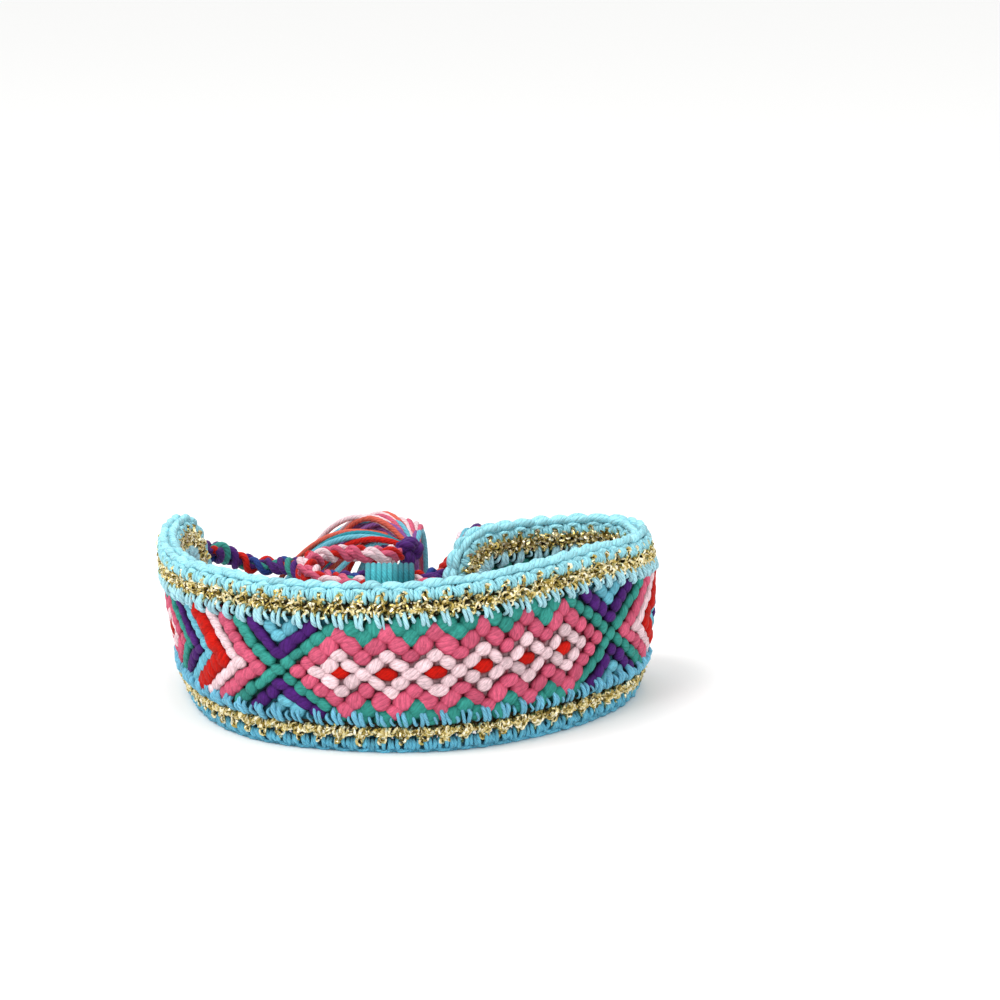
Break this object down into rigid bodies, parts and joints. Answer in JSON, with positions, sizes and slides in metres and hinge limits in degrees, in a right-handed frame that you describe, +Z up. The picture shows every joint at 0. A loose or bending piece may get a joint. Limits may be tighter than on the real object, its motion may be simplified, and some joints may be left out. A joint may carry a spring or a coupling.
{
  "type": "macrame bracelet",
  "caption": "Knotted cotton bracelet with a patterned panel, crocheted edging with metallic yarn, braided ties, a sliding knot and tassels.",
  "frame": {"origin": "on the surface that it stands on, under the middle of the standing band's box, with the ties and tassels left out", "axes": "+X along the band's longer way across, to the right as seen from the front; +Y from the patterned front towards the ties; +Z up, along the wrist"},
  "size_m": [0.077, 0.0744, 0.0266],
  "materials": {
    "panel_cotton": "matt, hand-knotted cotton yarn",
    "gold_lurex": "glittering metallic yarn, crocheted",
    "border_cotton": "matt, crocheted cotton yarn",
    "left_tie_cotton": "matt, braided cotton yarn",
    "right_tie_cotton": "matt, braided cotton yarn",
    "slider_cotton": "matt, wound cotton yarn",
    "left_knot_yarn": "matt cotton yarn",
    "right_knot_yarn": "matt cotton yarn",
    "left_tassel_yarn": "matt, loose cotton yarn",
    "right_tassel_yarn": "matt, loose cotton yarn"
  },
  "bodies": {
    "root": {"knotted_panel": "panel_cotton", "gold_round": "gold_lurex", "crochet_border": "border_cotton", "left_tie": "left_tie_cotton", "right_tie": "right_tie_cotton", "sliding_knot": "slider_cotton", "left_end_knot": "left_knot_yarn", "right_end_knot": "right_knot_yarn", "left_tassel": "left_tassel_yarn", "right_tassel": "right_tassel_yarn"}
  },
  "joints": []
}
